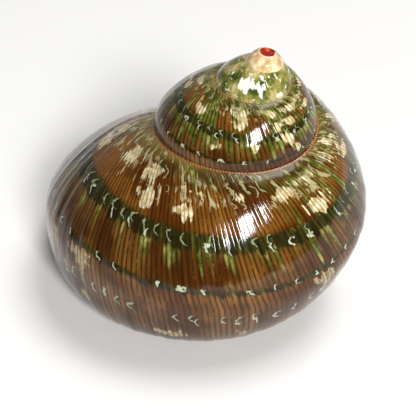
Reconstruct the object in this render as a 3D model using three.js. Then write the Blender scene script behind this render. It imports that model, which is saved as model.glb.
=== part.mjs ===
import * as THREE from 'three';

// A turban shell: one thick coiled snail shell, standing on its base and the rim of its
// aperture, with the spire up. Millimetres, +Z up. The origin is the middle of its
// bounding box, on the surface that it stands on.
//
// The surface is swept by one whorl profile that turns around the axis while it grows.
// Growth is counted in turns, and is 0 where the last whorl crosses the front (-Y).
// Profile points are x = distance from the axis and y = height below the apex, in units
// of WHORL_RADIUS, for a whorl of growth 0.

// Driving dimensions
const WHORL_RADIUS = 29; // axis to the periphery of the last whorl at the front
const EXPANSION = 1.972; // how much larger each turn is than the one before
const EARLY_EXPANSION = 0.0713; // how much faster the early turns grew, per turn
const APERTURE_TURN = 149 / 360; // where the last whorl ends
const LATE_SLOWING = 0.778; // share of its growth that the last part of the whorl loses
const LATE_START = 0.11; // where that begins
const SPIRE_TURNS = 4.75; // turns from the first whorl to the aperture

// Whorl profile: suture, shoulder, periphery, base, axis
const PERIPHERY_HEIGHT = -1.204;
const SHOULDER_ANGLE = THREE.MathUtils.degToRad(3.5); // slope down and out at the suture
const SHOULDER_REACH = 0.153;
const SHOULDER_DROP = 0.159;
const BASE_RADIUS = 0.555; // where the base is lowest
const BASE_DEPTH = 0.621; // from the periphery down to there
const ARC_HANDLE = 0.55; // handle length that makes a Bezier quarter an ellipse
const DIMPLE_RISE = 0.2; // share of the base's depth that it rises again to the axis
const DIMPLE_EDGE = 0.5; // where the rise begins and ends, as shares of BASE_RADIUS
const DIMPLE_FLOOR = 0.3;

// The suture leaves the periphery and slides down the last half turn before the aperture
const SUTURE_SLIDE = 0.364;
const SLIDE_TURNS = 0.42;
const EARLIER_TURNS = 6; // turns whose stacked height is counted

// Columella foot: the base gathers to this point, from these profile stations
const FOOT = new THREE.Vector2(0, -1.795);
const GATHER_START = 1.5;
const GATHER_END = 2.8;
const INNER_GATHER_START = 1.9; // the same where the aperture's inner lip lies
const INNER_GATHER_END = 2.9;

// Aperture: its rim runs back from the suture to the base, so it faces down and back
const RIM_LAG = 0.22; // turns that the base of the rim lies behind its top
const RIM_LAG_TURNS = 0.45; // turns over which the growth lines swing to the rim
const INNER_LAG_TURNS = 0.4;
const OUTER_LAG_STATION = 2.2; // stations where the lag is full
const INNER_LAG_STATION = 2.7;

// Rounded lip: rings of depth in turns, and share of the way from the rim to the bore
const LIP_RINGS = [
  [-0.006, 0.3],
  [-0.004, 0.75],
  [0.008, 1],
];

// Bore of the whorl: an ellipse in the profile plane
const BORE_CENTRE = new THREE.Vector2(0.592, -1.193);
const BORE_HALF_WIDTH = 0.312;
const BORE_HALF_HEIGHT = 0.434;
const BORE_TILT = 0.423; // radians
const BORE_TURNS = 1.15; // depth of the cavity
const BORE_STEP = 1 / 30;
const BORE_END_LENGTH = 0.04; // rounded blind end, in turns
const BORE_END_RINGS = [0.5, 0.85]; // shares of that length
const LAG_FADE = 0.5; // depth at which the bore's rings stand square to it

// Stance: the spire leans a little to the right and to the front
const LEAN = THREE.MathUtils.degToRad(12.85);
const LEAN_AZIMUTH = THREE.MathUtils.degToRad(-40.5);
const SPIN = THREE.MathUtils.degToRad(-13.04); // turn of the shell about its own axis
const FLOOR = -1.692; // the surface below the apex
const FLOOR_SOFTNESS = 0.055; // height over which the base rounds into its worn foot
const WORN_FLAT = 0.008; // what is worn off the lowest places
const BASE_WALL = 0.07; // wall under the cavity
const APEX_RISE = 0.012; // of the tip above the first turn

// Mesh fineness
const ROWS_PER_TURN = 36;
const WHORL_STEPS = 10; // steps from suture to suture
const BASE_STEPS = 14; // steps from there to the columella foot
const ROUNDING = 1e-9;

const shellMaterial = new THREE.MeshStandardMaterial({
  color: 0x6b4a2a,
  roughness: 0.18,
  metalness: 0,
});

const ease = (x) => THREE.MathUtils.smoothstep(x, 0, 1);

// Size of the whorl at a growth, as a share of its size at the front
function size(growth) {
  const early = Math.min(growth, 0);
  const late = Math.max(growth - LATE_START, 0);
  const slowing = (LATE_SLOWING * late * late) / (2 * (APERTURE_TURN - LATE_START));
  const turns = growth - (EARLY_EXPANSION * early * early) / 2 - slowing;
  return Math.pow(EXPANSION, turns);
}

function makeProfile() {
  const suture = new THREE.Vector2(1, PERIPHERY_HEIGHT).divideScalar(EXPANSION);
  const slope = new THREE.Vector2(Math.cos(SHOULDER_ANGLE), -Math.sin(SHOULDER_ANGLE));
  const periphery = new THREE.Vector2(1, PERIPHERY_HEIGHT);
  const baseHeight = PERIPHERY_HEIGHT - BASE_DEPTH;
  const base = new THREE.Vector2(BASE_RADIUS, baseHeight);
  const dimpleHeight = PERIPHERY_HEIGHT - (1 - DIMPLE_RISE) * BASE_DEPTH;
  const axis = new THREE.Vector2(0, dimpleHeight);
  return [
    new THREE.CubicBezierCurve(
      suture,
      slope.multiplyScalar(SHOULDER_REACH).add(suture),
      new THREE.Vector2(1, PERIPHERY_HEIGHT + SHOULDER_DROP),
      periphery,
    ),
    new THREE.CubicBezierCurve(
      periphery,
      new THREE.Vector2(1, PERIPHERY_HEIGHT - ARC_HANDLE * BASE_DEPTH),
      new THREE.Vector2(BASE_RADIUS + ARC_HANDLE * (1 - BASE_RADIUS), baseHeight),
      base,
    ),
    new THREE.CubicBezierCurve(
      base,
      new THREE.Vector2(DIMPLE_EDGE * BASE_RADIUS, baseHeight),
      new THREE.Vector2(DIMPLE_FLOOR * BASE_RADIUS, dimpleHeight),
      axis,
    ),
  ];
}

// Profile stations: 0 suture, 1 periphery, 2 lowest point of the base, 3 axis
const AXIS_STATION = 3;
const profileCurves = makeProfile();

function profile(station) {
  const piece = Math.min(Math.floor(station), profileCurves.length - 1);
  return profileCurves[piece].getPoint(Math.min(station - piece, 1));
}

// Station of a whorl where the next whorl's suture lies on it
function sutureStation(growth) {
  const slide = (growth - (APERTURE_TURN - 1 - SLIDE_TURNS)) / SLIDE_TURNS;
  return 1 + SUTURE_SLIDE * THREE.MathUtils.clamp(slide, 0, 1) ** 2;
}

// How far the profile is shifted, so that each whorl starts on the one before
function shift(growth) {
  const total = new THREE.Vector2();
  for (let back = 1; back <= EARLIER_TURNS; back += 1) {
    const below = growth - back;
    total.add(profile(sutureStation(below)).multiplyScalar(size(below)));
    total.sub(profile(0).multiplyScalar(size(below + 1)));
  }
  return total;
}

const toSection = (growth, point) => point.clone().multiplyScalar(size(growth)).add(shift(growth));

// Turns that a rim lies behind its suture end, along its outer and its inner lip
const outerLag = (station) => RIM_LAG * ease(station / OUTER_LAG_STATION);

function innerLag(station) {
  const start = 1 + SUTURE_SLIDE;
  return RIM_LAG * ease((station - start) / (INNER_LAG_STATION - start));
}

const axisUp = new THREE.Vector3(0, 0, 1);
const leaningAxis = new THREE.Vector3(
  Math.sin(LEAN) * Math.cos(LEAN_AZIMUTH),
  Math.sin(LEAN) * Math.sin(LEAN_AZIMUTH),
  Math.cos(LEAN),
);
const stance = new THREE.Quaternion().setFromUnitVectors(axisUp, leaningAxis);

// A section point in the standing shell. Heights near the floor round off onto it, and
// clearance keeps an inner surface that much above it.
function place(growth, section, clearance) {
  const azimuth = SPIN - Math.PI / 2 - 2 * Math.PI * growth;
  const point = new THREE.Vector3(
    section.x * Math.cos(azimuth),
    section.x * Math.sin(azimuth),
    section.y,
  );
  point.applyQuaternion(stance);
  const above = (point.z - FLOOR - clearance) / FLOOR_SOFTNESS;
  const rounded = FLOOR_SOFTNESS * (Math.max(above, 0) + Math.log1p(Math.exp(-Math.abs(above))));
  point.z = Math.max(rounded, WORN_FLAT) + clearance - WORN_FLAT;
  return point.multiplyScalar(WHORL_RADIUS);
}

// One point of the outer surface, with its growth, section and place
function surfacePoint(rowGrowth, station) {
  const split = sutureStation(rowGrowth);
  const towardRim = ease((rowGrowth - APERTURE_TURN + RIM_LAG_TURNS) / RIM_LAG_TURNS);
  const sinceInner = rowGrowth - (APERTURE_TURN - 1);
  const nearInner = sinceInner > -ROUNDING ? 1 - ease(sinceInner / INNER_LAG_TURNS) : 0;
  let growth = rowGrowth - towardRim * outerLag(station);
  if (station > split) growth -= nearInner * innerLag(station);
  const section = toSection(growth, profile(station));
  const gather = THREE.MathUtils.lerp(
    ease((station - GATHER_START) / (GATHER_END - GATHER_START)),
    ease((station - INNER_GATHER_START) / (INNER_GATHER_END - INNER_GATHER_START)),
    nearInner,
  );
  const axisEnd = toSection(growth, profile(AXIS_STATION));
  section.add(FOOT.clone().sub(axisEnd).multiplyScalar(gather));
  return { growth, section, place: place(growth, section, 0) };
}

const vertices = [];
const triangles = [];

function addVertex(point) {
  vertices.push(point.x, point.y, point.z);
  return vertices.length / 3 - 1;
}

// Two triangles between each pair of neighbours on two rows, without the flat ones
function addStrip(row, nextRow) {
  for (let i = 0; i + 1 < row.length; i += 1) {
    if (row[i] !== nextRow[i]) triangles.push(row[i], nextRow[i], nextRow[i + 1]);
    if (row[i + 1] !== nextRow[i + 1]) triangles.push(row[i], nextRow[i + 1], row[i + 1]);
  }
}

function addFan(loop, tip) {
  loop.forEach((vertex, i) => triangles.push(loop[(i + 1) % loop.length], vertex, tip));
}

// Outer surface: rows across the whorl, each ending on the suture of the next turn or,
// in the last turn, at the columella foot
const lastRow = Math.round(SPIRE_TURNS * ROWS_PER_TURN);
const innerRow = lastRow - ROWS_PER_TURN;
const rows = [];
for (let r = 0; r <= lastRow; r += 1) {
  const rowGrowth = APERTURE_TURN - (lastRow - r) / ROWS_PER_TURN;
  const split = sutureStation(rowGrowth);
  const row = [];
  for (let i = 0; i <= WHORL_STEPS; i += 1) {
    row.push(surfacePoint(rowGrowth, (split * i) / WHORL_STEPS));
  }
  if (r >= innerRow) {
    for (let i = 1; i <= BASE_STEPS; i += 1) {
      const station = split + ((AXIS_STATION - split) * i) / BASE_STEPS;
      row.push(surfacePoint(rowGrowth, station));
    }
  }
  rows.push(row);
}

const footVertex = addVertex(rows[lastRow].at(-1).place);
const indexRows = rows.map((row, r) =>
  row.map((point, i) => {
    const onSuture = i === WHORL_STEPS && r <= innerRow;
    const onFoot = i === WHORL_STEPS + BASE_STEPS;
    if (onFoot) return footVertex;
    return onSuture ? -1 : addVertex(point.place);
  }),
);
for (let r = 0; r <= innerRow; r += 1) {
  indexRows[r][WHORL_STEPS] = indexRows[r + ROWS_PER_TURN][0];
}
for (let r = 0; r < lastRow; r += 1) {
  const width = r < innerRow ? WHORL_STEPS + 1 : indexRows[r].length;
  addStrip(indexRows[r].slice(0, width), indexRows[r + 1].slice(0, width));
}

// Apex: a low cap over the first turn
const firstTurn = indexRows.slice(0, ROWS_PER_TURN + 1).map((row) => row[0]);
const firstRow = indexRows[0].slice(1, WHORL_STEPS).reverse();
const apexLoop = [...firstTurn, ...firstRow];
const apex = new THREE.Vector3();
apexLoop.forEach((vertex) => apex.add(new THREE.Vector3().fromArray(vertices, 3 * vertex)));
apex.divideScalar(apexLoop.length).addScaledVector(leaningAxis, APEX_RISE * WHORL_RADIUS);
addFan(apexLoop, addVertex(apex));

// Rim of the aperture: out along the last row to the foot, back along the inner row
const rim = indexRows[lastRow].map((vertex, i) => ({ vertex, ...rows[lastRow][i] }));
for (let i = rows[innerRow].length - 2; i > WHORL_STEPS; i -= 1) {
  const { growth, section } = rows[innerRow][i];
  rim.push({ vertex: indexRows[innerRow][i], growth: growth + 1, section });
}
rim.forEach((point) => {
  point.profile = point.section.clone().sub(shift(point.growth)).divideScalar(size(point.growth));
  const arm = point.profile.clone().sub(BORE_CENTRE).rotateAround(new THREE.Vector2(), -BORE_TILT);
  const angle = Math.atan2(arm.y / BORE_HALF_HEIGHT, arm.x / BORE_HALF_WIDTH);
  point.arm = new THREE.Vector2(
    BORE_HALF_WIDTH * Math.cos(angle),
    BORE_HALF_HEIGHT * Math.sin(angle),
  ).rotateAround(new THREE.Vector2(), BORE_TILT);
});

// One ring of the lip or bore: inward is 0 at the rim and 1 on the bore's wall
function addRing(depth, inward, girth) {
  const square = ease(depth / LAG_FADE);
  return rim.map((point) => {
    const growth = THREE.MathUtils.lerp(point.growth, APERTURE_TURN, square) - depth;
    const wall = BORE_CENTRE.clone().addScaledVector(point.arm, girth);
    const section = toSection(growth, point.profile.clone().lerp(wall, inward));
    return addVertex(place(growth, section, BASE_WALL * inward));
  });
}

const boreEnd = Math.floor(BORE_TURNS / BORE_STEP) * BORE_STEP;
const rings = [
  rim.map((point) => point.vertex),
  ...LIP_RINGS.map(([depth, inward]) => addRing(depth, inward, 1)),
];
for (let depth = BORE_STEP; depth <= boreEnd; depth += BORE_STEP) {
  rings.push(addRing(depth, 1, 1));
}
BORE_END_RINGS.forEach((share) => {
  rings.push(addRing(boreEnd + BORE_END_LENGTH * share, 1, Math.sqrt(1 - share * share)));
});
for (let i = 0; i + 1 < rings.length; i += 1) {
  addStrip([...rings[i], rings[i][0]], [...rings[i + 1], rings[i + 1][0]]);
}
const endGrowth = APERTURE_TURN - boreEnd - BORE_END_LENGTH;
const endPoint = place(endGrowth, toSection(endGrowth, BORE_CENTRE), BASE_WALL);
addFan(rings.at(-1), addVertex(endPoint));

const geometry = new THREE.BufferGeometry();
geometry.setAttribute('position', new THREE.Float32BufferAttribute(vertices, 3));
geometry.setIndex(triangles);
geometry.computeBoundingBox();
const middle = geometry.boundingBox.getCenter(new THREE.Vector3());
geometry.translate(-middle.x, -middle.y, -geometry.boundingBox.min.z);
geometry.computeVertexNormals();

const shell = new THREE.Mesh(geometry, shellMaterial);
shell.name = 'shell';

const group = new THREE.Group();
group.name = 'turban_shell';
group.add(shell);

export default group;
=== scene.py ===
"""A polished turban shell: a coiled snail shell with its brown and green growth lines, cream
tents and crescents, its pearly cavity, a pale floor, soft light and a camera."""

import math

import bpy
import numpy as np
from mathutils import Matrix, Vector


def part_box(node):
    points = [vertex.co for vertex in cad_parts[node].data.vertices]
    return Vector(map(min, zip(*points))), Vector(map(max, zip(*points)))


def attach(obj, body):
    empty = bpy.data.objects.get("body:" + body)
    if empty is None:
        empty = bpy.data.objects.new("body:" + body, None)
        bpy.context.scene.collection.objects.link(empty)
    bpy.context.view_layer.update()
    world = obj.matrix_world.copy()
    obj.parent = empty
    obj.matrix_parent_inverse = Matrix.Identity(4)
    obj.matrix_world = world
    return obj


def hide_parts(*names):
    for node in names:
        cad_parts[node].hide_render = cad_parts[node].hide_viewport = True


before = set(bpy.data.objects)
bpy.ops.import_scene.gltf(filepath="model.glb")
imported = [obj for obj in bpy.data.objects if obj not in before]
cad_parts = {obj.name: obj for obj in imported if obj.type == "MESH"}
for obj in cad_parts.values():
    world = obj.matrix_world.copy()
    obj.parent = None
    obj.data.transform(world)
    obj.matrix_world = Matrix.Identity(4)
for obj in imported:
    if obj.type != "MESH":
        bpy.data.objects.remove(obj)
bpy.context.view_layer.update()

# ---------------------------------------------------------------- dimensions

MM = 0.001

# Growth is counted in turns, and is 0 where the last whorl crosses the front (-Y).
WHORL_RADIUS = 29 * MM  # axis to the periphery of the last whorl at the front
EXPANSION = 1.972  # how much larger each turn is than the one before
EARLY_EXPANSION = 0.0713
APERTURE_TURN = 149 / 360
LATE_SLOWING = 0.778
LATE_START = 0.11
SPIRE_TURNS = 4.75

# Whorl profile, in whorl radii: x is the distance from the axis, y the height
PERIPHERY_HEIGHT = -1.204
SHOULDER_ANGLE = math.radians(3.5)
SHOULDER_REACH = 0.153
SHOULDER_DROP = 0.159
BASE_RADIUS = 0.555
BASE_DEPTH = 0.621
ARC_HANDLE = 0.55
DIMPLE_RISE = 0.2
DIMPLE_EDGE = 0.5
DIMPLE_FLOOR = 0.3
SUTURE_SLIDE = 0.364
SLIDE_TURNS = 0.42
EARLIER_TURNS = 6

# Columella foot, and the aperture's rim
FOOT = np.array([0, -1.795])
GATHER = (1.5, 2.8)
INNER_GATHER = (1.9, 2.9)
RIM_LAG = 0.22
RIM_LAG_TURNS = 0.45
INNER_LAG_TURNS = 0.4
OUTER_LAG_STATION = 2.2
INNER_LAG_STATION = 2.7

# Bore of the whorl
BORE_CENTRE = np.array([0.592, -1.193])
BORE_HALF = np.array([0.312, 0.434])
BORE_TILT = 0.423
BORE_TURNS = 1.15
BORE_END_LENGTH = 0.04
LAG_FADE = 0.5
BORE_END_RINGS = (0.3, 0.55, 0.75, 0.9, 0.97)
LIP_BULGE = 0.006  # how far the rounded lip stands before the rim, in turns
LIP_DEPTH = 0.008  # turns
LIP_CURVE = (3, 0.8)  # powers of the way round the lip, for its depth and its bulge

# Stance
LEAN = math.radians(12.85)
LEAN_AZIMUTH = math.radians(-40.5)
SPIN = math.radians(-13.04)
FLOOR = -1.692
FLOOR_SOFTNESS = 0.055
WORN_FLAT = 0.008
BASE_WALL = 0.07

# Worn apex: the first whorls are rubbed smooth to a dome with a shallow pit in its top
DOME_RADIUS = 0.104
DOME_HEIGHT = 0.14
DOME_WORN = 0.036  # what is worn off the tip
DOME_TURN = -2.08
DOME_FADE = 0.15  # turns
CAP_HEIGHT = 0.4 * MM
CAP_RINGS = 14
PIT_GIRTH = 0.8  # of the cap, as the next two
PIT_WALL = 0.25
PIT_SLOPE = 0.5
PIT_SINK = 0.6  # of the cap's own height
PIT_DEPTH = 0.35 * MM

# Fineness of the surface
ROWS_PER_TURN = 480
WHORL_STEPS = 22
BASE_STEPS = 30
LIP_RINGS = 8
BORE_RINGS = 70

AXIS_STATION = 3  # stations: 0 suture, 1 periphery, 2 lowest of the base, 3 axis
ROUNDING = 1e-9

# ------------------------------------------------------------------ surface


def ease(x):
    """Smooth step from 0 to 1: three x squared less two x cubed."""
    x = np.clip(x, 0, 1)
    return x * x * (3 - 2 * x)


def size(growth):
    """Size of the whorl: the expansion raised to the growth in turns, which runs a little
    ahead on the spire and slows down near the aperture."""
    early = np.minimum(growth, 0)
    late = np.maximum(growth - LATE_START, 0)
    slowing = LATE_SLOWING * late**2 / (2 * (APERTURE_TURN - LATE_START))
    return EXPANSION ** (growth - EARLY_EXPANSION * early**2 / 2 - slowing)


def bezier(points, t):
    """Cubic Bezier curve through numpy arrays of t."""
    a, b, c, d = (np.asarray(p, float) for p in points)
    t = np.clip(t, 0, 1)[..., None]
    return (1 - t) ** 3 * a + 3 * t * (1 - t) ** 2 * b + 3 * t * t * (1 - t) * c + t**3 * d


PERIPHERY = np.array([1, PERIPHERY_HEIGHT])
SUTURE = PERIPHERY / EXPANSION
SLOPE = np.array([math.cos(SHOULDER_ANGLE), -math.sin(SHOULDER_ANGLE)])
LOW = PERIPHERY_HEIGHT - BASE_DEPTH
DIMPLE = PERIPHERY_HEIGHT - (1 - DIMPLE_RISE) * BASE_DEPTH
SHOULDER_CURVE = (SUTURE, SUTURE + SHOULDER_REACH * SLOPE, (1, PERIPHERY_HEIGHT + SHOULDER_DROP),
                  PERIPHERY)
SIDE_CURVE = (PERIPHERY, (1, PERIPHERY_HEIGHT - ARC_HANDLE * BASE_DEPTH),
              (BASE_RADIUS + ARC_HANDLE * (1 - BASE_RADIUS), LOW), (BASE_RADIUS, LOW))
BASE_CURVE = ((BASE_RADIUS, LOW), (DIMPLE_EDGE * BASE_RADIUS, LOW),
              (DIMPLE_FLOOR * BASE_RADIUS, DIMPLE), (0, DIMPLE))


def profile(station):
    """Whorl profile at a station: shoulder curve, then side curve, then base curve."""
    station = np.asarray(station, float)
    shoulder = bezier(SHOULDER_CURVE, station)
    side = bezier(SIDE_CURVE, station - 1)
    base = bezier(BASE_CURVE, station - 2)
    lower = np.where((station < 2)[..., None], side, base)
    return np.where((station < 1)[..., None], shoulder, lower)


def suture_station(growth):
    """Station where the next whorl's suture lies: the periphery, and below it by the
    square of the way through the last part before the aperture."""
    slide = (growth - (APERTURE_TURN - 1 - SLIDE_TURNS)) / SLIDE_TURNS
    return 1 + SUTURE_SLIDE * np.clip(slide, 0, 1) ** 2


def shift(growth):
    """Sum over the earlier whorls of where each next suture lies on them, less where
    the next whorl's own suture would be."""
    total = 0
    for back in range(1, EARLIER_TURNS + 1):
        below = growth - back
        total = total + size(below)[..., None] * profile(suture_station(below))
        total = total - size(below + 1)[..., None] * profile(0)
    return total


def to_section(growth, points):
    """Profile points, scaled by the whorl's size and stacked on the whorls before."""
    return size(growth)[..., None] * points + shift(growth)


def lean_matrix():
    """Rotation by the least angle that takes +Z to the leaning axis."""
    tilt = np.array([-math.sin(LEAN_AZIMUTH), math.cos(LEAN_AZIMUTH), 0])
    cross = np.array([[0, 0, tilt[1]], [0, 0, -tilt[0]], [-tilt[1], tilt[0], 0]])
    return np.eye(3) + math.sin(LEAN) * cross + (1 - math.cos(LEAN)) * cross @ cross


STANCE = lean_matrix()


def place(growth, section, clearance=0.0):
    """Section points turned about the axis by their growth, leaned, and rounded off onto
    the floor: height = softness times log(1 + exp(height / softness))."""
    azimuth = SPIN - math.pi / 2 - 2 * math.pi * growth
    points = np.stack([section[..., 0] * np.cos(azimuth), section[..., 0] * np.sin(azimuth),
                       section[..., 1]], -1) @ STANCE.T
    above = (points[..., 2] - FLOOR - clearance) / FLOOR_SOFTNESS
    rounded = FLOOR_SOFTNESS * np.logaddexp(0, above)
    points[..., 2] = np.maximum(rounded, WORN_FLAT) + clearance - WORN_FLAT
    return points * WHORL_RADIUS


SPREAD_TURNS = (-6, 1)
SPREAD_STEPS = 4000


def spread(growth):
    """Length in mm grown along the periphery since the apex, by summing the whorl's size."""
    turns = np.linspace(*SPREAD_TURNS, SPREAD_STEPS + 1)
    step = turns[1] - turns[0]
    length = np.cumsum(size(turns)) * step * 2 * math.pi * WHORL_RADIUS / MM
    return np.interp(growth, turns, length)


LINE_SWEEP = 0.13  # turns that a growth line sweeps back on its way down
LINE_SWEEP_STATION = 0.65


def growth_line(growth, station):
    """Growth line through a point: its growth plus the sweep, which rises steeply under
    the suture and levels off towards the base."""
    return growth + LINE_SWEEP * (1 - np.exp(-station / LINE_SWEEP_STATION))


def domed(growth, section):
    """The first whorls' section, pushed out to at least the dome: radius times the root
    of 1 less the square of 1 less the depth below the apex over the dome's height. The
    tip is worn down, less and less towards the dome's foot."""
    depth = np.clip(-section[..., 1] / DOME_HEIGHT, 0, 1)
    dome = DOME_RADIUS * np.sqrt(np.maximum(1 - (1 - depth) ** 2, 0))
    wear = ease((DOME_TURN - growth) / DOME_FADE)
    radius = section[..., 0] + wear * np.maximum(dome - section[..., 0], 0)
    return np.stack([radius, section[..., 1] - DOME_WORN * wear * (1 - depth)], -1)


def outer_surface(rows, stations, base):
    """The outer surface over rows of growth and stations across the whorl. Rows swing
    back to the rim near the aperture, and the base gathers to the columella foot."""
    row = np.broadcast_to(rows[:, None], stations.shape)
    toward_rim = ease((row - APERTURE_TURN + RIM_LAG_TURNS) / RIM_LAG_TURNS)
    since_inner = row - (APERTURE_TURN - 1)
    near_inner = np.where(since_inner > -ROUNDING, 1 - ease(since_inner / INNER_LAG_TURNS), 0)
    growth = row - toward_rim * RIM_LAG * ease(stations / OUTER_LAG_STATION)
    if base:
        start = 1 + SUTURE_SLIDE
        inner_lag = RIM_LAG * ease((stations - start) / (INNER_LAG_STATION - start))
        growth = growth - near_inner * inner_lag
    section = to_section(growth, profile(stations))
    outer_gather = ease((stations - GATHER[0]) / (GATHER[1] - GATHER[0]))
    inner_gather = ease((stations - INNER_GATHER[0]) / (INNER_GATHER[1] - INNER_GATHER[0]))
    gather = outer_gather + (inner_gather - outer_gather) * near_inner
    axis_end = to_section(growth, np.broadcast_to(profile(AXIS_STATION), section.shape))
    section = section + gather[..., None] * (FOOT - axis_end)
    return growth, domed(growth, section)


# Relief: a beaded fillet under the suture, and low folds along the growth lines
FILLET_STATION = 0.016
FILLET_HEIGHT = 0.10 * MM
FILLET_BEAD = 1.1  # mm
FILLET_WIDTH = 0.012  # stations
FILLET_START = 0.01
BEAD_SHARE = 0.35
FILLET_GROWTH = 1.6
FOLDS = ((7.3, 0.035), (4.1, 0.03), (2.3, 0.018))  # spacing and height, in mm
FOLD_START = 0.12
FOLD_END = 2.6
FOLD_FADE = 0.8
FOLD_SWAY = 1.3
FOLD_SWAY_STATIONS = 4
FOLD_SWAY_MM = 31
SUTURE_FADE = 0.01
SEAM_FADE = 0.06
END_FADE = 0.02  # turns
FLOOR_CLEAR = 0.6 * MM
TINY = 1e-15


def relief(line_mm, station, whorl):
    """Height of the relief: fillet bump times its beads, plus a sum of sine folds that
    fade out at both sutures."""
    bump = np.exp(-(((station - FILLET_STATION) / FILLET_WIDTH) ** 2))
    bump = bump * ease(station / FILLET_START)
    beads = 1 - BEAD_SHARE + BEAD_SHARE * np.sin(2 * math.pi * line_mm / FILLET_BEAD)
    height = FILLET_HEIGHT * bump * beads * np.minimum(whorl * FILLET_GROWTH, 1)
    fade = ease(station / FOLD_START) * ease((FOLD_END - station) / FOLD_FADE)
    for spacing, fold in FOLDS:
        sway = np.sin(station * FOLD_SWAY_STATIONS + line_mm / FOLD_SWAY_MM)
        phase = 2 * math.pi * line_mm / spacing + FOLD_SWAY * sway
        height = height + fold * MM * fade * np.sin(phase) * np.minimum(whorl, 1)
    return height


def raised(points, height):
    """Points moved along the surface normal, from the cross product of its gradients."""
    down_rows = np.gradient(points, axis=0)
    across = np.gradient(points, axis=1)
    normal = np.cross(down_rows, across)
    length = np.linalg.norm(normal, axis=-1, keepdims=True)
    return points + height[..., None] * normal / np.maximum(length, TINY)


last = round(SPIRE_TURNS * ROWS_PER_TURN)
inner = last - ROWS_PER_TURN
row_growth = APERTURE_TURN - (last - np.arange(last + 1)) / ROWS_PER_TURN
split = suture_station(row_growth)[:, None]
whorl_station = split * np.linspace(0, 1, WHORL_STEPS + 1)
base_split = split[inner:]
base_station = base_split + (AXIS_STATION - base_split) * np.linspace(0, 1, BASE_STEPS + 1)[1:]

whorl_growth, whorl_section = outer_surface(row_growth, whorl_station, False)
base_growth, base_section = outer_surface(row_growth[inner:], base_station, True)


def pattern_place(growth, station):
    """Texture coordinates: growth line in mm, station, and growth in turns."""
    line = spread(growth_line(growth, station))
    return np.stack([line, station, growth], -1)


whorl_uv = pattern_place(whorl_growth, whorl_station)
base_uv = pattern_place(base_growth, base_station)

whorl_points = place(whorl_growth, whorl_section)
base_points = place(base_growth, base_section)
last_points = np.concatenate([whorl_points[inner:], base_points], 1)
last_uv = np.concatenate([whorl_uv[inner:], base_uv], 1)

edge = ease(whorl_station / SUTURE_FADE) * ease((split - whorl_station) / (SEAM_FADE * split))
spire_height = relief(whorl_uv[..., 0], whorl_station, size(whorl_growth)) * edge
last_height = relief(last_uv[..., 0], last_uv[..., 1], size(last_uv[..., 2]))
last_rows = row_growth[inner:]
last_height = last_height * ease((APERTURE_TURN - last_rows) / END_FADE)[:, None]
last_height = last_height * ease((last_rows - last_rows[0]) / END_FADE)[:, None]
last_height[last_points[..., 2] < FLOOR_CLEAR] = 0
spire_points = raised(whorl_points[:inner + 1], spire_height[:inner + 1])
last_points = raised(last_points, last_height)

# --------------------------------------------------------------------- mesh

vertex_blocks = []
face_blocks = []
corner_blocks = []
material_blocks = []
ARAGONITE = 0
NACRE = 1


def add_vertices(points):
    """Adds a block of vertices and gives their numbers, in the same grid shape."""
    flat = points.reshape(-1, 3)
    start = sum(len(block) for block in vertex_blocks)
    vertex_blocks.append(flat)
    return start + np.arange(len(flat)).reshape(points.shape[:-1])


def add_quads(numbers, corners, material=ARAGONITE):
    """Adds a quad between each four neighbours of a grid of vertex numbers, with the
    texture coordinates of its corners."""
    def four(grid):
        return np.stack([grid[:-1, :-1], grid[1:, :-1], grid[1:, 1:], grid[:-1, 1:]], 2)

    faces = four(numbers).reshape(-1, 4)
    face_blocks.append(faces)
    corner_blocks.append(four(corners).reshape(-1, 4, 3))
    material_blocks.append(np.full(len(faces), material))


def add_fan(loop, tip, corners, tip_corner, material=ARAGONITE):
    """Adds triangles from a closed loop to its tip, as quads with a repeated corner."""
    following = np.roll(loop, -1)
    tips = np.full(len(loop), tip)
    faces = np.stack([following, loop, tips, tips], -1)
    tip_corners = np.broadcast_to(tip_corner, corners.shape)
    face_blocks.append(faces)
    corner_blocks.append(np.stack([np.roll(corners, -1, 0), corners, tip_corners, tip_corners], 1))
    material_blocks.append(np.full(len(faces), material))


width = WHORL_STEPS + BASE_STEPS
numbers = np.full((last + 1, width + 1), -1)
numbers[:inner, :WHORL_STEPS] = add_vertices(spire_points[:inner, :WHORL_STEPS])
numbers[inner:, :width] = add_vertices(last_points[:, :width])
numbers[inner:, width] = add_vertices(last_points[-1:, width])[0]
numbers[:inner + 1, WHORL_STEPS] = numbers[ROWS_PER_TURN:, 0]

all_whorls = slice(0, WHORL_STEPS + 1)
add_quads(numbers[:inner + 1, all_whorls], whorl_uv[:inner + 1])
add_quads(numbers[inner:], last_uv)

# Apex: a low cap over the first turn
first_turn = slice(0, ROWS_PER_TURN + 1)
across_first = slice(WHORL_STEPS - 1, 0, -1)
apex_loop = np.concatenate([numbers[first_turn, 0], numbers[0, across_first]])
apex_uv = np.concatenate([whorl_uv[first_turn, 0], whorl_uv[0, across_first]])
placed = np.concatenate(vertex_blocks)
apex_middle = placed[apex_loop].mean(0)
cap_girth = np.linspace(1, 0, CAP_RINGS + 1)[1:-1]


def cap_lift(girth):
    """Height of the cap over its middle: a dome of 1 less the girth squared, with a pit
    of that depth inside the pit's girth, where the dome sinks too."""
    dome = CAP_HEIGHT * (1 - girth**2)
    pit = PIT_DEPTH * ease((PIT_GIRTH - girth) / PIT_WALL)
    return dome - pit - PIT_SINK * dome * ease((PIT_GIRTH - girth) / PIT_SLOPE)


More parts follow.
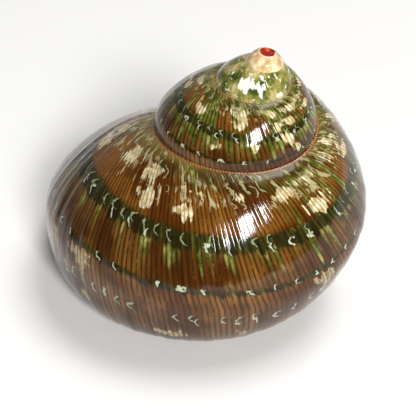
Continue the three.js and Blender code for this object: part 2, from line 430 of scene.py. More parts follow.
cap_points = (apex_middle + cap_girth[:, None, None] * (placed[apex_loop] - apex_middle)
              + cap_lift(cap_girth)[:, None, None] * STANCE[:, 2])
cap_numbers = np.concatenate([apex_loop[None], add_vertices(cap_points)])
cap_numbers = np.append(cap_numbers, cap_numbers[:, :1], 1)
cap_line = np.append(apex_uv[:, 0], apex_uv[0, 0])
cap_turn = row_growth[0] - (1 - np.append(1, cap_girth))
cap_uv = np.stack(np.broadcast_arrays(cap_line, 0.5, cap_turn[:, None]), -1)
add_quads(cap_numbers, cap_uv)
apex_number = add_vertices((apex_middle + cap_lift(np.array(0.0)) * STANCE[:, 2])[None])[0]
add_fan(cap_numbers[-1, :-1], apex_number, cap_uv[-1, :-1], cap_uv[-1, 0])

# Rim of the aperture: out along the last row to the foot, back along the inner row
back = slice(width - 1, WHORL_STEPS, -1)
rim_numbers = np.concatenate([numbers[last], numbers[inner, back]])
rim_growth = np.concatenate([last_uv[-1, :, 2], last_uv[0, back, 2] + 1])
last_section = np.concatenate([whorl_section[-1], base_section[-1]])
first_section = np.concatenate([whorl_section[inner], base_section[0]])
rim_section = np.concatenate([last_section, first_section[back]])
rim_profile = (rim_section - shift(rim_growth)) / size(rim_growth)[:, None]


def turned(points, angle):
    """Plane points turned by an angle."""
    c, s = math.cos(angle), math.sin(angle)
    return points @ np.array([[c, s], [-s, c]])


arm = turned(rim_profile - BORE_CENTRE, -BORE_TILT)
bore_angle = np.arctan2(arm[:, 1] / BORE_HALF[1], arm[:, 0] / BORE_HALF[0])
ellipse = BORE_HALF * np.stack([np.cos(bore_angle), np.sin(bore_angle)], -1)
bore_arm = turned(ellipse, BORE_TILT)


def cavity_ring(depth, inward, girth):
    """One ring of the lip or bore: the rim's profile moved to the bore's ellipse by the
    share inward, and set back along the growth by the depth."""
    level = ease(depth / LAG_FADE)
    growth = rim_growth + (APERTURE_TURN - rim_growth) * level - depth
    wall = BORE_CENTRE + bore_arm * girth
    outline = rim_profile + (wall - rim_profile) * inward
    return place(growth, to_section(growth, outline), BASE_WALL * inward)


# Depth, share inward and girth of each ring: round the lip, down the bore, round its end
deepen, bulge = LIP_CURVE
lip = (np.arange(LIP_RINGS) + 1) / LIP_RINGS
rings = [(LIP_DEPTH * s**deepen - LIP_BULGE * math.sin(math.pi * s**bulge),
          (1 - math.cos(math.pi * s)) / 2, 1.0) for s in lip]
rings += [(depth, 1.0, 1.0) for depth in np.linspace(LIP_DEPTH, BORE_TURNS, BORE_RINGS)[1:]]
rings += [(BORE_TURNS + BORE_END_LENGTH * s, 1.0, math.sqrt(1 - s * s)) for s in BORE_END_RINGS]
ring_points = np.stack([cavity_ring(*ring) for ring in rings])
ring_numbers = np.concatenate([rim_numbers[None], add_vertices(ring_points)])
ring_numbers = np.append(ring_numbers, ring_numbers[:, :1], 1)
depths = np.array([0] + [ring[0] for ring in rings])
around = np.linspace(0, 1, ring_numbers.shape[1])
ring_line = spread(APERTURE_TURN - depths)
ring_uv = np.stack(np.broadcast_arrays(ring_line[:, None], around, -depths[:, None]), -1)
add_quads(ring_numbers, ring_uv, NACRE)
end_growth = np.array(APERTURE_TURN - BORE_TURNS - BORE_END_LENGTH)
end_point = place(end_growth, to_section(end_growth, BORE_CENTRE), BASE_WALL)
end_number = add_vertices(end_point[None])[0]
add_fan(ring_numbers[-1, :-1], end_number, ring_uv[-1, :-1], ring_uv[-1, 0], NACRE)

points = np.concatenate(vertex_blocks)
low, high = points.min(0), points.max(0)
cad_low, cad_high = (np.array(corner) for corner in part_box("shell"))
points[:, :2] += (cad_low + cad_high)[:2] / 2 - (low + high)[:2] / 2
points[:, 2] += cad_low[2] - low[2]

# ------------------------------------------------------- blotches of the pattern

# Cream patches: turn, station, half length along the growth in mm, half height in stations
SHOULDER_PATCHES = (
    (0.235, 0.37, 3.0, 0.065), (0.245, 0.24, 2.2, 0.05), (0.170, 0.225, 2.6, 0.045),
    (0.118, 0.235, 2.4, 0.05), (0.098, 0.385, 2.6, 0.06), (0.160, 0.34, 1.6, 0.035),
    (0.045, 0.260, 3.0, 0.030), (0.042, 0.380, 2.2, 0.045), (-0.020, 0.245, 1.5, 0.05),
    (-0.088, 0.250, 3.4, 0.040), (-0.138, 0.235, 2.0, 0.055), (-0.148, 0.425, 3.2, 0.060),
    (-0.200, 0.20, 1.6, 0.07), (-0.256, 0.37, 2.0, 0.05), (-0.235, 0.15, 1.2, 0.09),
)
BASE_PATCHES = (
    (0.120, 0.95, 2.6, 0.085), (0.165, 1.0, 1.2, 0.10), (-0.140, 0.97, 2.2, 0.09),
    (0.112, 1.24, 1.0, 0.05), (0.018, 1.30, 3.0, 0.045), (-0.055, 1.29, 1.0, 0.05),
)
SPIRE_PATCHES = (
    (-0.862, 0.39, 1.7, 0.05), (-0.975, 0.27, 2.2, 0.075), (-0.985, 0.40, 1.8, 0.05),
    (-1.090, 0.41, 1.7, 0.07), (-1.118, 0.60, 0.9, 0.11), (-1.140, 0.80, 0.8, 0.07),
    (-0.945, 0.685, 0.9, 0.03), (-1.033, 0.64, 0.9, 0.06), (-1.075, 0.24, 1.4, 0.06),
    (-1.935, 0.55, 1.3, 0.17), (-1.975, 0.52, 1.5, 0.15), (-2.02, 0.62, 0.8, 0.19),
    (-1.93, 0.26, 0.45, 0.05), (-2.01, 0.28, 0.6, 0.06), (-2.06, 0.26, 0.4, 0.07),
    (-2.12, 0.88, 0.5, 0.09), (-1.83, 0.46, 0.35, 0.05),
)


PATCH_SEED = 11
UNSEEN_SPANS = ((-0.72, -0.29), (0.28, 0.40), (-1.75, -1.22), (-0.80, -0.74))  # turns
UNSEEN_STATIONS = (0.23, 0.39, 0.93)
UNSEEN_STEP = (5, 9)  # mm
UNSEEN_JITTER = 0.03
UNSEEN_HALF_LENGTH = (1.2, 2.8)
UNSEEN_HALF_HEIGHT = (0.035, 0.065)
TENT_WIDTH = 1.05
TENT_TAPER = 0.55
TENT_SQUARENESS = 3


def unseen_patches():
    """More patches on the far side, drawn from a seeded generator: two rows on the
    shoulder and one below the middle, a few mm apart."""
    rng = np.random.default_rng(PATCH_SEED)
    patches = []
    for start, stop in UNSEEN_SPANS:
        for station in UNSEEN_STATIONS:
            turn = start
            while turn < stop:
                way_round = 2 * math.pi * WHORL_RADIUS / MM * float(size(np.array(turn)))
                turn += rng.uniform(*UNSEEN_STEP) / way_round
                patches.append((turn, station + rng.uniform(-UNSEEN_JITTER, UNSEEN_JITTER),
                                rng.uniform(*UNSEEN_HALF_LENGTH), rng.uniform(*UNSEEN_HALF_HEIGHT)))
    return tuple(patches)


def blotches(line_mm, station, growth):
    """Greatest of the patches' tent shapes: each is 1 in its middle, 0.5 on its outline
    and falls on outside, by the cube root of the cubes of the distances along and across
    the whorl, and is wider above than below."""
    value = np.zeros_like(line_mm)
    for turn, centre, half_mm, half_station in (*SHOULDER_PATCHES, *BASE_PATCHES, *SPIRE_PATCHES,
                                                *unseen_patches()):
        centre_line = spread(growth_line(turn, centre))
        across = (station - centre) / half_station
        width = half_mm * (TENT_WIDTH - TENT_TAPER * np.clip(across, -1, 1))
        along = (line_mm - centre_line) / width
        power = TENT_SQUARENESS
        away = (np.abs(along) ** power + np.abs(across) ** power) ** (1 / power)
        value = np.maximum(value, 1 - away / 2)
    return value


faces = np.concatenate(face_blocks)
corners = np.concatenate(corner_blocks)
materials = np.concatenate(material_blocks)
repeated = faces[:, 2] == faces[:, 3]
keep = np.ones(faces.shape, bool)
keep[repeated, 3] = False
loop_vertices = faces[keep]
loop_uv = corners[keep]
loop_totals = keep.sum(1)


SHARP_ANGLE = math.radians(38)


def shell_mesh():
    """The whole shell as one mesh, with its growth coordinates on every corner."""
    mesh = bpy.data.meshes.new("turban_shell")
    mesh.vertices.add(len(points))
    mesh.vertices.foreach_set("co", points.ravel())
    mesh.loops.add(len(loop_vertices))
    mesh.loops.foreach_set("vertex_index", loop_vertices.astype(np.int32))
    mesh.polygons.add(len(faces))
    starts = np.concatenate([[0], np.cumsum(loop_totals)[:-1]])
    mesh.polygons.foreach_set("loop_start", starts.astype(np.int32))
    mesh.polygons.foreach_set("material_index", materials.astype(np.int32))
    mesh.update(calc_edges=True)
    growth_map = mesh.uv_layers.new(name="growth")
    growth_map.data.foreach_set("uv", loop_uv[:, :2].astype(np.float32).ravel())
    blotch = np.where(materials.repeat(loop_totals) == ARAGONITE, blotches(*loop_uv.T), 0)
    age_map = mesh.uv_layers.new(name="age")
    age = np.stack([loop_uv[:, 2], blotch], -1)
    age_map.data.foreach_set("uv", age.astype(np.float32).ravel())
    mesh.validate()
    mesh.polygons.foreach_set("use_smooth", np.ones(len(mesh.polygons), bool))
    mesh.set_sharp_from_angle(angle=SHARP_ANGLE)
    return mesh


shell = bpy.data.objects.new("turban_shell", shell_mesh())
bpy.context.collection.objects.link(shell)

# ---------------------------------------------------------------- materials

MATH = "ShaderNodeMath"
RAMP = "ShaderNodeValToRGB"
MIX = "ShaderNodeMix"
NOISE = "ShaderNodeTexNoise"
SPAN = "ShaderNodeMapRange"
SPLIT = "ShaderNodeSeparateXYZ"
BUMP = "ShaderNodeBump"
PLACE = "ShaderNodeTexCoord"
OBJECT_OUTPUT = 3

# Settings of the nodes that are used most
PLUS = {"operation": "ADD"}
LESS = {"operation": "SUBTRACT"}
TIMES = {"operation": "MULTIPLY"}
OVER = {"operation": "DIVIDE"}
TIMES_PLUS = {"operation": "MULTIPLY_ADD"}
FRACTION = {"operation": "FRACT"}
DISTANCE = {"operation": "ABSOLUTE"}
GREATER = {"operation": "MAXIMUM"}
SMOOTH = {"interpolation_type": "SMOOTHSTEP"}  # from a value that gives 0 to one that gives 1
LAYER = {"data_type": "RGBA"}  # mask, colour under, colour over
TINT = {"data_type": "RGBA", "blend_type": "MULTIPLY"}


def colour(value):
    """Linear colour of an sRGB hex value."""
    parts = [int(value[i:i + 2], 16) / 255 for i in (1, 3, 5)]
    return (*(c / 12.92 if c <= 0.04045 else ((c + 0.055) / 1.055) ** 2.4 for c in parts), 1)


def put(tree, kind, *inputs, out=0, stops=None, **settings):
    """Adds a node. Inputs fill its sockets in order, as values or links; settings name
    attributes or sockets; stops fill a colour ramp. Gives one of its outputs."""
    node = tree.nodes.new(kind)
    named = {}
    for name, value in settings.items():
        if hasattr(node, name):
            setattr(node, name, value)
        else:
            named[name.replace("_", " ").lower()] = value
    if stops:
        ramp = node.color_ramp.elements
        while len(ramp) < len(stops):
            ramp.new(1)
        for element, (position, value) in zip(ramp, stops):
            element.position = position
            element.color = colour(value) if isinstance(value, str) else (value, value, value, 1)
    sockets = [socket for socket in node.inputs if socket.enabled]
    by_name = {socket.name.lower(): socket for socket in reversed(sockets)}
    filled = list(zip(sockets, inputs)) + [(by_name[name], value) for name, value in named.items()]
    for socket, value in filled:
        if isinstance(value, bpy.types.NodeSocket):
            tree.links.new(value, socket)
        else:
            socket.default_value = value
    return [socket for socket in node.outputs if socket.enabled][out]


def new_material(name):
    """A node material with its tree and its shader."""
    material = bpy.data.materials.new(name)
    material.use_nodes = True
    tree = material.node_tree
    return material, tree, tree.nodes["Principled BSDF"]


MEAN = 0.5  # of a noise
LINE_SPACING = 1.05  # mm between growth lines
LINE_SWAY = 0.9  # mm
LINE_EDGES = (0.26, 0.08)  # from the line's middle, in spacings
LINE_STATIONS = (0.02, 0.2)
LINE_BREAKS = (0.25, 0.5)  # of the fine noise
LINE_DEPTH = 0.82
JUVENILE_LINE_DEPTH = 0.3

# Noise in space: length of its features in mm, detail, roughness
GRAINS = {
    "broad": (9.0, 2.0, 0.5), "edge": (2.2, 3.0, 0.6), "fine": (0.9, 2.0, 0.5),
    "peach": (1.3, 2.0, 0.5), "fray": (0.8, 1.0, 0.5), "fleck": (0.7, 1.0, 0.5),
}
# Noise drawn out along the growth lines: length in mm, waves across a station, seed
STREAKS = {
    "tone": (1.0, 2.2, 3.0), "wide tone": (4.5, 1.4, 7.0), "wobble": (1.6, 14.0, 5.0),
    "green": (1.7, 1.3, 11.0), "cream": (1.5, 9.0, 17.0),
}
STREAK_DETAIL = 2.0
LEVEL_NOISE = 0.035  # stations that every border wanders

# Growth at which the colours change: where the new colour starts, and where it is full
ADULT = (-1.75, -1.5)
AFTER_DOME = (-2.7, -2.3)
DOME_COLOUR = (-2.45, -2.62)
PINK_RING = (-4.30, -4.40)
RED_PIT = (-4.48, -4.56)

# Ground by a third of the station: fillet, green under the suture, orange shoulder, dark
# band, brown side, greyish tan base, pale callus at the columella
GROUND = (
    (0.0, "#b17331"), (0.02, "#867037"), (0.06, "#82622a"), (0.075, "#976120"),
    (0.15, "#925d20"), (0.165, "#463a13"), (0.2, "#7a501f"), (0.27, "#7f5521"),
    (0.29, "#8b5e28"), (0.345, "#835828"), (0.4, "#75522b"), (0.48, "#7b5b3f"),
    (0.62, "#8a6d51"), (0.78, "#c2a98d"), (0.86, "#ebdfce"), (1.0, "#f0e9dd"))
LIGHT_BY_TONE = ((0.3, 0.42), (0.5, 0.72), (0.68, 1.0))
DEEP_EDGES = (0.58, 0.42)
DEEP_SHARE = 0.85
DEEP_TINT = "#a07c52"

# Green by 0.9 plus a quarter of the growth, and by a third of the station
GREEN_BY_GROWTH = ((0.0, 0.0), (0.24, 0.0), (0.30, 1.0), (0.46, 1.0), (0.56, 0.75),
                   (0.78, 0.7), (0.86, 0.6), (0.90, 0.5), (1.0, 0.42))
GROWTH_TO_RAMP = (0.25, 0.9)
GREEN_BY_STATION = ((0.0, 0.5), (0.02, 0.85), (0.06, 0.6), (0.08, 0.22), (0.155, 0.22),
                    (0.165, 1.0), (0.20, 0.9), (0.26, 0.5), (0.30, 0.12), (0.45, 0.0))
CLOUD_TURNS = (-0.02, -0.12)
CLOUD_STATIONS = (0.16, 0.48)
CLOUD_SOFT = 0.05
CLOUD_SHARE = 0.5
GREEN_WEIGHT = 0.62
GREEN_EDGES = (0.76, 0.90)
GREENS = ((0.3, "#30380a"), (0.5, "#5e6423"), (0.7, "#a4a25c"))
OLIVES = ((0.34, "#44501a"), (0.47, "#868640"), (0.57, "#b8a866"), (0.68, "#dcc898"))
OLIVE_SHARE = 0.85

BANDS = ((0.478, 0.572), (0.806, 0.852))  # from station, to station
BAND_SOFT = 0.012
BAND_TEAR = 0.11
BAND_SHARE = 0.92
BAND_SHADES = ((0.3, "#120f02"), (0.5, "#22220a"), (0.68, "#4a4c1a"))
LINE_COLOUR = "#2c1804"

PATCH_EDGE_NOISE = 1.0
PATCH_LINE_NOISE = 1.3
PATCH_EDGES = (0.47, 0.58)
PATCH_LINES = -0.7  # how far the growth lines show through
PATCH_LOW = (0.75, 0.9)  # stations past which the patches fade, and by how much
PATCH_LOW_FADE = -0.55
CREAMS = ((0.3, "#9c8856"), (0.5, "#d4c292"), (0.7, "#f2e8ce"))
JUVENILE_CREAM = "#f6f2e8"

STREAK_EDGES = (0.56, 0.62)
STREAK_STATIONS = (0.04, 0.33)
STREAK_SOFT = 0.03
STREAK_CLOUDS = (0.42, 0.56)
STREAK_SHARE = 0.8
STREAK_COLOUR = "#b9ad80"

# Rows of crescents: station, half height, spacing and thickness in mm, hook in mm, share of
# the places that are filled, pale colour, strength of the shadow
ROWS = (
    (0.165, 0.055, 4.6, 0.36, 0.9, 0.8, "#a3a070", 0.4),
    (0.205, 0.045, 3.4, 0.30, -0.7, 0.6, "#b0a67c", 0.4),
    (0.075, 0.045, 3.0, 0.28, -0.6, 0.7, "#9c9864", 0.3),
    (0.295, 0.020, 2.6, 0.26, -0.5, 0.7, "#b5a878", 0.3),
    (0.512, 0.032, 3.1, 0.26, 0.8, 0.75, "#9aa67c", 0.8),
    (0.556, 0.028, 4.6, 0.32, 0.4, 0.5, "#d2d8b8", 0.7),
    (0.830, 0.024, 4.4, 0.34, 0.3, 0.75, "#cdd0b2", 0.75),
    (1.100, 0.034, 2.9, 0.28, 0.7, 0.65, "#a9ac90", 0.6),
    (1.135, 0.036, 3.7, 0.26, 0.5, 0.5, "#b4b69e", 0.5),
)
ROW_SWAY = 0.55  # of the spacing
ROW_SWAY_MM = 0.8
ROW_DRIFT = 0.9  # of the half height
ROW_ENDS = (1.1, 0.75)  # in half heights
ROW_FRAY = 4.5  # the rest in thicknesses
PALE_EDGES = (1.25, 0.2)
SHADOW_OFFSET = 1.7
SHADOW_EDGES = (1.5, 0.5)
PALE_SHARE = 0.78
SHADOW_COLOUR = "#151408"

FLECK_EDGES = (0.655, 0.70)
FLECK_SHARE = 0.8
FLECK_COLOUR = "#ece6d0"
FILLET_EDGES = (0.026, 0.018)  # stations
BEADS = ((0.1, "#6a4018"), (0.6, "#9c6a34"), (0.95, "#c09a68"))
PEACHES = ((0.35, "#b78e58"), (0.5, "#dcbe8a"), (0.65, "#f4dfb8"))
PINK = "#e6c8ae"
REDS = ((0.35, "#7a1006"), (0.55, "#a02008"), (0.7, "#c46a34"))

GLOSS = (0.10, 0.03)  # roughness: spread and least
LINE_RELIEF = -0.5
FINE_RELIEF = 0.25


def banded(tree, station, start, stop, soft):
    """1 between two stations, fading over soft on either side."""
    rise = put(tree, SPAN, station, start - soft, start + soft, **SMOOTH)
    fall = put(tree, SPAN, station, stop + soft, stop - soft, **SMOOTH)
    return put(tree, MATH, rise, fall, **TIMES)


def streaks(tree, line, station, name):
    """Noise drawn out along the growth lines."""
    length_mm, waves, seed = STREAKS[name]
    along = put(tree, MATH, line, 1 / length_mm, seed, **TIMES_PLUS)
    across = put(tree, MATH, station, waves, **TIMES)
    spot = put(tree, "ShaderNodeCombineXYZ", along, across, seed)
    return put(tree, NOISE, spot, Scale=1.0, Detail=STREAK_DETAIL)


def crescents(tree, line, station, wobble, fray, row):
    """Crescents in a row along the whorl, one for each spacing: the distance along the
    growth from a hooked middle line, cut off above and below, and drawn in a share of the
    places. Gives the pale crescent and the dark shadow beside it."""
    centre, half, spacing, thickness, hook, fill = row
    moved = put(tree, MATH, wobble, spacing * ROW_SWAY + ROW_SWAY_MM, line, **TIMES_PLUS)
    cells = put(tree, MATH, moved, spacing, **OVER)
    cell = put(tree, MATH, cells, operation="FLOOR")
    chance = put(tree, "ShaderNodeTexWhiteNoise", cell, noise_dimensions="1D")
    local = put(tree, MATH, put(tree, MATH, cells, **FRACTION), MEAN, **LESS)
    local = put(tree, MATH, local, spacing, **TIMES)
    drift = put(tree, MATH, chance, MEAN, **LESS)
    middle = put(tree, MATH, drift, half * ROW_DRIFT, centre, **TIMES_PLUS)
    height = put(tree, MATH, put(tree, MATH, station, middle, **LESS), half, **OVER)
    bend = put(tree, MATH, put(tree, MATH, height, height, **TIMES), hook, **TIMES)
    offset = put(tree, MATH, local, bend, **PLUS)
    offset = put(tree, MATH, fray, thickness * ROW_FRAY, offset, **TIMES_PLUS)
    inside = put(tree, SPAN, put(tree, MATH, height, **DISTANCE), *ROW_ENDS, **SMOOTH)
    drawn = put(tree, MATH, chance, fill, operation="LESS_THAN")
    inside = put(tree, MATH, inside, drawn, **TIMES)
    pale = put(tree, SPAN, put(tree, MATH, offset, **DISTANCE),
               *(thickness * edge for edge in PALE_EDGES), **SMOOTH)
    beside = put(tree, MATH, offset, thickness * SHADOW_OFFSET, **PLUS)
    dark = put(tree, SPAN, put(tree, MATH, beside, **DISTANCE),
               *(thickness * edge for edge in SHADOW_EDGES), **SMOOTH)
    return put(tree, MATH, pale, inside, **TIMES), put(tree, MATH, dark, inside, **TIMES)


def polished_aragonite():
    """Polished aragonite of the outer layer, grown line by line and ground to a gloss.
    To the eye: a glassy surface over brown and green lines, with sharp highlights that
    the lines break up."""
    material, tree, shader = new_material("polished_aragonite")
    growth_map = put(tree, "ShaderNodeUVMap", uv_map="growth")
    line = put(tree, SPLIT, growth_map)
    station = put(tree, SPLIT, growth_map, out=1)
    age_map = put(tree, "ShaderNodeUVMap", uv_map="age")
    turn = put(tree, SPLIT, age_map)
    blotch = put(tree, SPLIT, age_map, out=1)
    where = put(tree, PLACE, out=OBJECT_OUTPUT)
    grain = {name: put(tree, NOISE, where, Scale=1 / (length * MM), Detail=detail, Roughness=rough)
             for name, (length, detail, rough) in GRAINS.items()}
    streak = {name: streaks(tree, line, station, name) for name in STREAKS}
    fine = grain["fine"]
    tone = streak["tone"]
    edge_swing = put(tree, MATH, grain["edge"], MEAN, **LESS)
    tone_swing = put(tree, MATH, tone, MEAN, **LESS)
    level = put(tree, MATH, edge_swing, LEVEL_NOISE, station, **TIMES_PLUS)
    third = put(tree, MATH, level, 1 / AXIS_STATION, **TIMES)
    adult = put(tree, SPAN, turn, *ADULT, **SMOOTH)
    juvenile = put(tree, MATH, 1.0, adult, **LESS)
    after_dome = put(tree, SPAN, turn, *AFTER_DOME, **SMOOTH)

    # Brown ground, lighter and darker along the growth lines and in broad clouds
    light = put(tree, RAMP, tone, stops=LIGHT_BY_TONE)
    surface = put(tree, MIX, 1.0, put(tree, RAMP, third, stops=GROUND), light, **TINT)
    deep = put(tree, SPAN, grain["broad"], *DEEP_EDGES, **SMOOTH)
    deep = put(tree, MATH, deep, DEEP_SHARE, **TIMES)
    surface = put(tree, MIX, deep, surface, colour(DEEP_TINT), **TINT)

    # Green, strongest on the older whorls and under the suture
    by_growth = put(tree, RAMP, put(tree, MATH, turn, *GROWTH_TO_RAMP, **TIMES_PLUS),
                    stops=GREEN_BY_GROWTH)
    by_station = put(tree, RAMP, third, stops=GREEN_BY_STATION)
    by_station = put(tree, MATH, by_station, juvenile, **GREATER)
    cloud = put(tree, MATH, put(tree, SPAN, turn, *CLOUD_TURNS, **SMOOTH),
                banded(tree, level, *CLOUD_STATIONS, CLOUD_SOFT), **TIMES)
    by_station = put(tree, MATH, cloud, CLOUD_SHARE, by_station, **TIMES_PLUS)
    green = put(tree, MATH, by_growth, by_station, **TIMES)
    green = put(tree, MATH, green, GREEN_WEIGHT, streak["green"], **TIMES_PLUS)
    green = put(tree, SPAN, green, *GREEN_EDGES, **SMOOTH)
    surface = put(tree, MIX, green, surface, put(tree, RAMP, grain["edge"], stops=GREENS), **LAYER)
    olive = put(tree, RAMP, grain["edge"], stops=OLIVES)
    olive_share = put(tree, MATH, juvenile, OLIVE_SHARE, **TIMES)
    surface = put(tree, MIX, olive_share, surface, olive, **LAYER)

    # Dark bands with torn edges
    torn = put(tree, MATH, tone_swing, BAND_TEAR, level, **TIMES_PLUS)
    shade = put(tree, RAMP, tone, stops=BAND_SHADES)
    band_share = put(tree, MATH, adult, BAND_SHARE, **TIMES)
    for start, stop in BANDS:
        band = put(tree, MATH, banded(tree, torn, start, stop, BAND_SOFT), band_share, **TIMES)
        surface = put(tree, MIX, band, surface, shade, **LAYER)

    # Growth lines: thin and dark, a little over 1 mm apart
    swayed = put(tree, MATH, put(tree, MATH, streak["wide tone"], MEAN, **LESS), LINE_SWAY, line,
                 **TIMES_PLUS)
    phase = put(tree, MATH, put(tree, MATH, swayed, 1 / LINE_SPACING, **TIMES), **FRACTION)
    from_middle = put(tree, MATH, put(tree, MATH, phase, MEAN, **LESS), **DISTANCE)
    thread = put(tree, SPAN, from_middle, *LINE_EDGES, **SMOOTH)
    thread_share = put(tree, MATH, put(tree, SPAN, station, *LINE_STATIONS, **SMOOTH), LINE_DEPTH,
                       **TIMES)
    thread_share = put(tree, MATH, thread_share, put(tree, SPAN, fine, *LINE_BREAKS, **SMOOTH),
                       **TIMES)
    grown = put(tree, MATH, adult, 1 - JUVENILE_LINE_DEPTH, JUVENILE_LINE_DEPTH, **TIMES_PLUS)
    grown = put(tree, MATH, grown, after_dome, **TIMES)
    thread_share = put(tree, MATH, thread_share, grown, **TIMES)
    dark_thread = put(tree, MATH, thread, thread_share, **TIMES)
    surface = put(tree, MIX, dark_thread, surface, colour(LINE_COLOUR), **LAYER)

    # Cream patches with ragged edges, and the growth lines through them
    ragged = put(tree, MATH, edge_swing, PATCH_EDGE_NOISE, blotch, **TIMES_PLUS)
    ragged = put(tree, MATH, tone_swing, PATCH_LINE_NOISE, ragged, **TIMES_PLUS)
    patch = put(tree, SPAN, ragged, *PATCH_EDGES, **SMOOTH)
    patch = put(tree, MATH, patch, put(tree, MATH, dark_thread, PATCH_LINES, 1.0, **TIMES_PLUS),
                **TIMES)
    low = put(tree, SPAN, station, *PATCH_LOW, **SMOOTH)
    patch = put(tree, MATH, patch, put(tree, MATH, low, PATCH_LOW_FADE, 1.0, **TIMES_PLUS), **TIMES)
    cream = put(tree, RAMP, fine, stops=CREAMS)
    cream = put(tree, MIX, juvenile, cream, colour(JUVENILE_CREAM), **LAYER)
    surface = put(tree, MIX, patch, surface, cream, **LAYER)

    # Small cream streaks on the shoulder
    small = put(tree, SPAN, streak["cream"], *STREAK_EDGES, **SMOOTH)
    small_share = put(tree, MATH, banded(tree, level, *STREAK_STATIONS, STREAK_SOFT),
                      put(tree, SPAN, grain["broad"], *STREAK_CLOUDS, **SMOOTH), **TIMES)
    small_share = put(tree, MATH, small_share, put(tree, MATH, after_dome, STREAK_SHARE, **TIMES),
                      **TIMES)
    small = put(tree, MATH, small, small_share, **TIMES)
    surface = put(tree, MIX, small, surface, colour(STREAK_COLOUR), **LAYER)

    # Rows of crescents
    wobble = put(tree, MATH, streak["wobble"], MEAN, **LESS)
    fray = put(tree, MATH, grain["fray"], MEAN, **LESS)
    for *row, pale_colour, shadow in ROWS:
        pale, dark = crescents(tree, line, level, wobble, fray, row)
        dark = put(tree, MATH, dark, put(tree, MATH, adult, shadow, **TIMES), **TIMES)
        surface = put(tree, MIX, dark, surface, colour(SHADOW_COLOUR), **LAYER)
        pale = put(tree, MATH, pale, put(tree, MATH, adult, PALE_SHARE, **TIMES), **TIMES)
        surface = put(tree, MIX, pale, surface, colour(pale_colour), **LAYER)

    # White flecks on the juvenile whorls
    fleck = put(tree, SPAN, grain["fleck"], *FLECK_EDGES, **SMOOTH)
    fleck_share = put(tree, MATH, juvenile, FLECK_SHARE, **TIMES)
    fleck_share = put(tree, MATH, fleck_share, after_dome, **TIMES)
    fleck = put(tree, MATH, fleck, fleck_share, **TIMES)
    surface = put(tree, MIX, fleck, surface, colour(FLECK_COLOUR), **LAYER)

    # Beads of the suture fillet
    bead_angle = put(tree, MATH, line, 2 * math.pi / FILLET_BEAD, **TIMES)
    beads = put(tree, MATH, put(tree, MATH, bead_angle, operation="SINE"), 0.5, 0.5, **TIMES_PLUS)
    fillet = put(tree, SPAN, station, *FILLET_EDGES, **SMOOTH)
    surface = put(tree, MIX, fillet, surface, put(tree, RAMP, beads, stops=BEADS), **LAYER)

    # First whorls and the worn red pit
    peach = put(tree, RAMP, grain["peach"], stops=PEACHES)
    red = put(tree, RAMP, fine, stops=REDS)
    for turns, laid in ((DOME_COLOUR, peach), (PINK_RING, colour(PINK)), (RED_PIT, red)):
        surface = put(tree, MIX, put(tree, SPAN, turn, *turns, **SMOOTH), surface, laid, **LAYER)

    tree.links.new(surface, shader.inputs["Base Color"])
    shader.inputs["IOR"].default_value = 1.45
    shader.inputs["Specular IOR Level"].default_value = 0.42
    tree.links.new(put(tree, MATH, fine, *GLOSS, **TIMES_PLUS), shader.inputs["Roughness"])
    height = put(tree, MATH, thread, LINE_RELIEF, tone, **TIMES_PLUS)
    height = put(tree, MATH, fine, FINE_RELIEF, height, **TIMES_PLUS)
    bump = put(tree, BUMP, Strength=0.45, Distance=0.04 * MM, Height=height)
    tree.links.new(bump, shader.inputs["Normal"])
    return material


CLOUD_SCALE = 1 / (6 * MM)
CLOUD_SWIRL = 0.8
SHEEN_SHARE = 0.5
NACRE_BODY = ((0.3, "#d9cfc4"), (0.5, "#ece4d8"), (0.7, "#f6f1e8"))
NACRE_SHEEN = ((0.35, "#f0e6dc"), (0.55, "#f2d6d8"), (0.75, "#d5e6d6"), (0.95, "#dcdcf0"))


def pearly_nacre():
    """Nacre of the cavity, laid down in thin plates by the snail. To the eye: a silky
    white with a painted sheen of faint pink and green that change with the angle."""
    material, tree, shader = new_material("pearly_nacre")
    where = put(tree, PLACE, out=OBJECT_OUTPUT)
    cloud = put(tree, NOISE, where, Scale=CLOUD_SCALE, Detail=3.0)
    body = put(tree, RAMP, cloud, stops=NACRE_BODY)
    # Painted sheen: the base colour shifts towards pink and green by how squarely the surface faces
    # the eye
    facing = put(tree, "ShaderNodeLayerWeight", Blend=0.45, out=1)
    swirl = put(tree, MATH, cloud, CLOUD_SWIRL, facing, **TIMES_PLUS)
    sheen = put(tree, RAMP, swirl, stops=NACRE_SHEEN)
    tree.links.new(put(tree, MIX, SHEEN_SHARE, body, sheen, **LAYER), shader.inputs["Base Color"])
    shader.inputs["Roughness"].default_value = 0.24
    shader.inputs["IOR"].default_value = 1.6
    bump = put(tree, BUMP, Strength=0.2, Distance=0.05 * MM, Height=cloud)
    tree.links.new(bump, shader.inputs["Normal"])
    return material


shell.data.materials.append(polished_aragonite())
shell.data.materials.append(pearly_nacre())
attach(shell, "root")
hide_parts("shell")

# ------------------------------------------------------- floor, light, camera

FLOOR_SIDE = 3  # m
bpy.ops.mesh.primitive_plane_add(size=FLOOR_SIDE, location=(0, 0, cad_low[2]))
floor = bpy.context.object
floor.name = "floor"
floor_material, _, floor_shader = new_material("matt_white_paper")
floor_shader.inputs["Base Color"].default_value = colour("#fbfaf8")
floor_shader.inputs["Roughness"].default_value = 0.9
floor_shader.inputs["Specular IOR Level"].default_value = 0.1
floor.data.materials.append(floor_material)

VIEW_AZIMUTH = math.radians(-0.37)
VIEW_ELEVATION = math.radians(35.42)
VIEW_DISTANCE = 201.7 * MM
VIEW_TARGET = np.array([0.93, 0, 15.01]) * MM
LENS = 99.8
SENSOR = 36
CLIP_START = 0.01

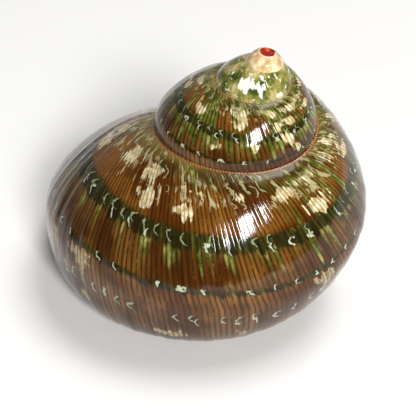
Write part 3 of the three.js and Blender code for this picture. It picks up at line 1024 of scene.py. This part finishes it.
toward_camera = np.array([math.sin(VIEW_AZIMUTH) * math.cos(VIEW_ELEVATION),
                          -math.cos(VIEW_AZIMUTH) * math.cos(VIEW_ELEVATION),
                          math.sin(VIEW_ELEVATION)])
view_right = np.array([math.cos(VIEW_AZIMUTH), math.sin(VIEW_AZIMUTH), 0])
view_up = np.cross(toward_camera, view_right)

# The room is dim on the camera's side and bright behind the shell; what the camera sees past
# the floor is plain white
ROOM_BRIGHT = 0.4
ROOM_DIM = 0.08
ROOM_TURN = (-0.8, 0.1)  # cosines of the angle from the camera's side

world = bpy.data.worlds.new("soft_room")
bpy.context.scene.world = world
world.use_nodes = True
tree = world.node_tree
room = tree.nodes["Background"]
room.inputs["Color"].default_value = colour("#fffefc")
toward = put(tree, "ShaderNodeVectorMath", put(tree, PLACE), tuple(toward_camera.tolist()),
             operation="DOT_PRODUCT")
dim = put(tree, SPAN, toward, *ROOM_TURN, ROOM_BRIGHT, ROOM_DIM, **SMOOTH)
strength = put(tree, MATH, dim, put(tree, "ShaderNodeLightPath"), **GREATER)
tree.links.new(strength, room.inputs["Strength"])


def aimed(item, position, target):
    """Places a light or camera and turns its -Z towards the target, with Y up."""
    item.location = position
    back = (position - target) / np.linalg.norm(position - target)
    side = np.cross([0, 0, 1], back)
    side /= np.linalg.norm(side)
    up = np.cross(back, side)
    item.rotation_euler = Matrix(np.stack([side, up, back], 1).tolist()).to_euler()
    bpy.context.collection.objects.link(item)


def softbox(name, direction, distance, width, height, watts):
    """A rectangular area light in a direction given as right, up and toward the camera."""
    lamp = bpy.data.lights.new(name, "AREA")
    lamp.shape = "RECTANGLE"
    lamp.size = width
    lamp.size_y = height
    lamp.energy = watts
    heading = np.array(direction) @ np.array([view_right, view_up, toward_camera])
    heading /= np.linalg.norm(heading)
    aimed(bpy.data.objects.new(name, lamp), VIEW_TARGET + distance * heading, VIEW_TARGET)


softbox("key_softbox", direction=(0.24, -0.06, 0.97), distance=1.2, width=0.29, height=0.27,
        watts=14.0)
softbox("overhead_softbox", direction=(0.30, 0.85, 0.45), distance=1.2, width=0.70, height=0.50,
        watts=8.0)

camera_data = bpy.data.cameras.new("camera")
camera_data.lens = LENS
camera_data.sensor_width = SENSOR
camera_data.clip_start = CLIP_START
camera = bpy.data.objects.new("camera", camera_data)
aimed(camera, VIEW_TARGET + VIEW_DISTANCE * toward_camera, VIEW_TARGET)
bpy.context.scene.camera = camera
bpy.context.scene.view_settings.view_transform = "Standard"
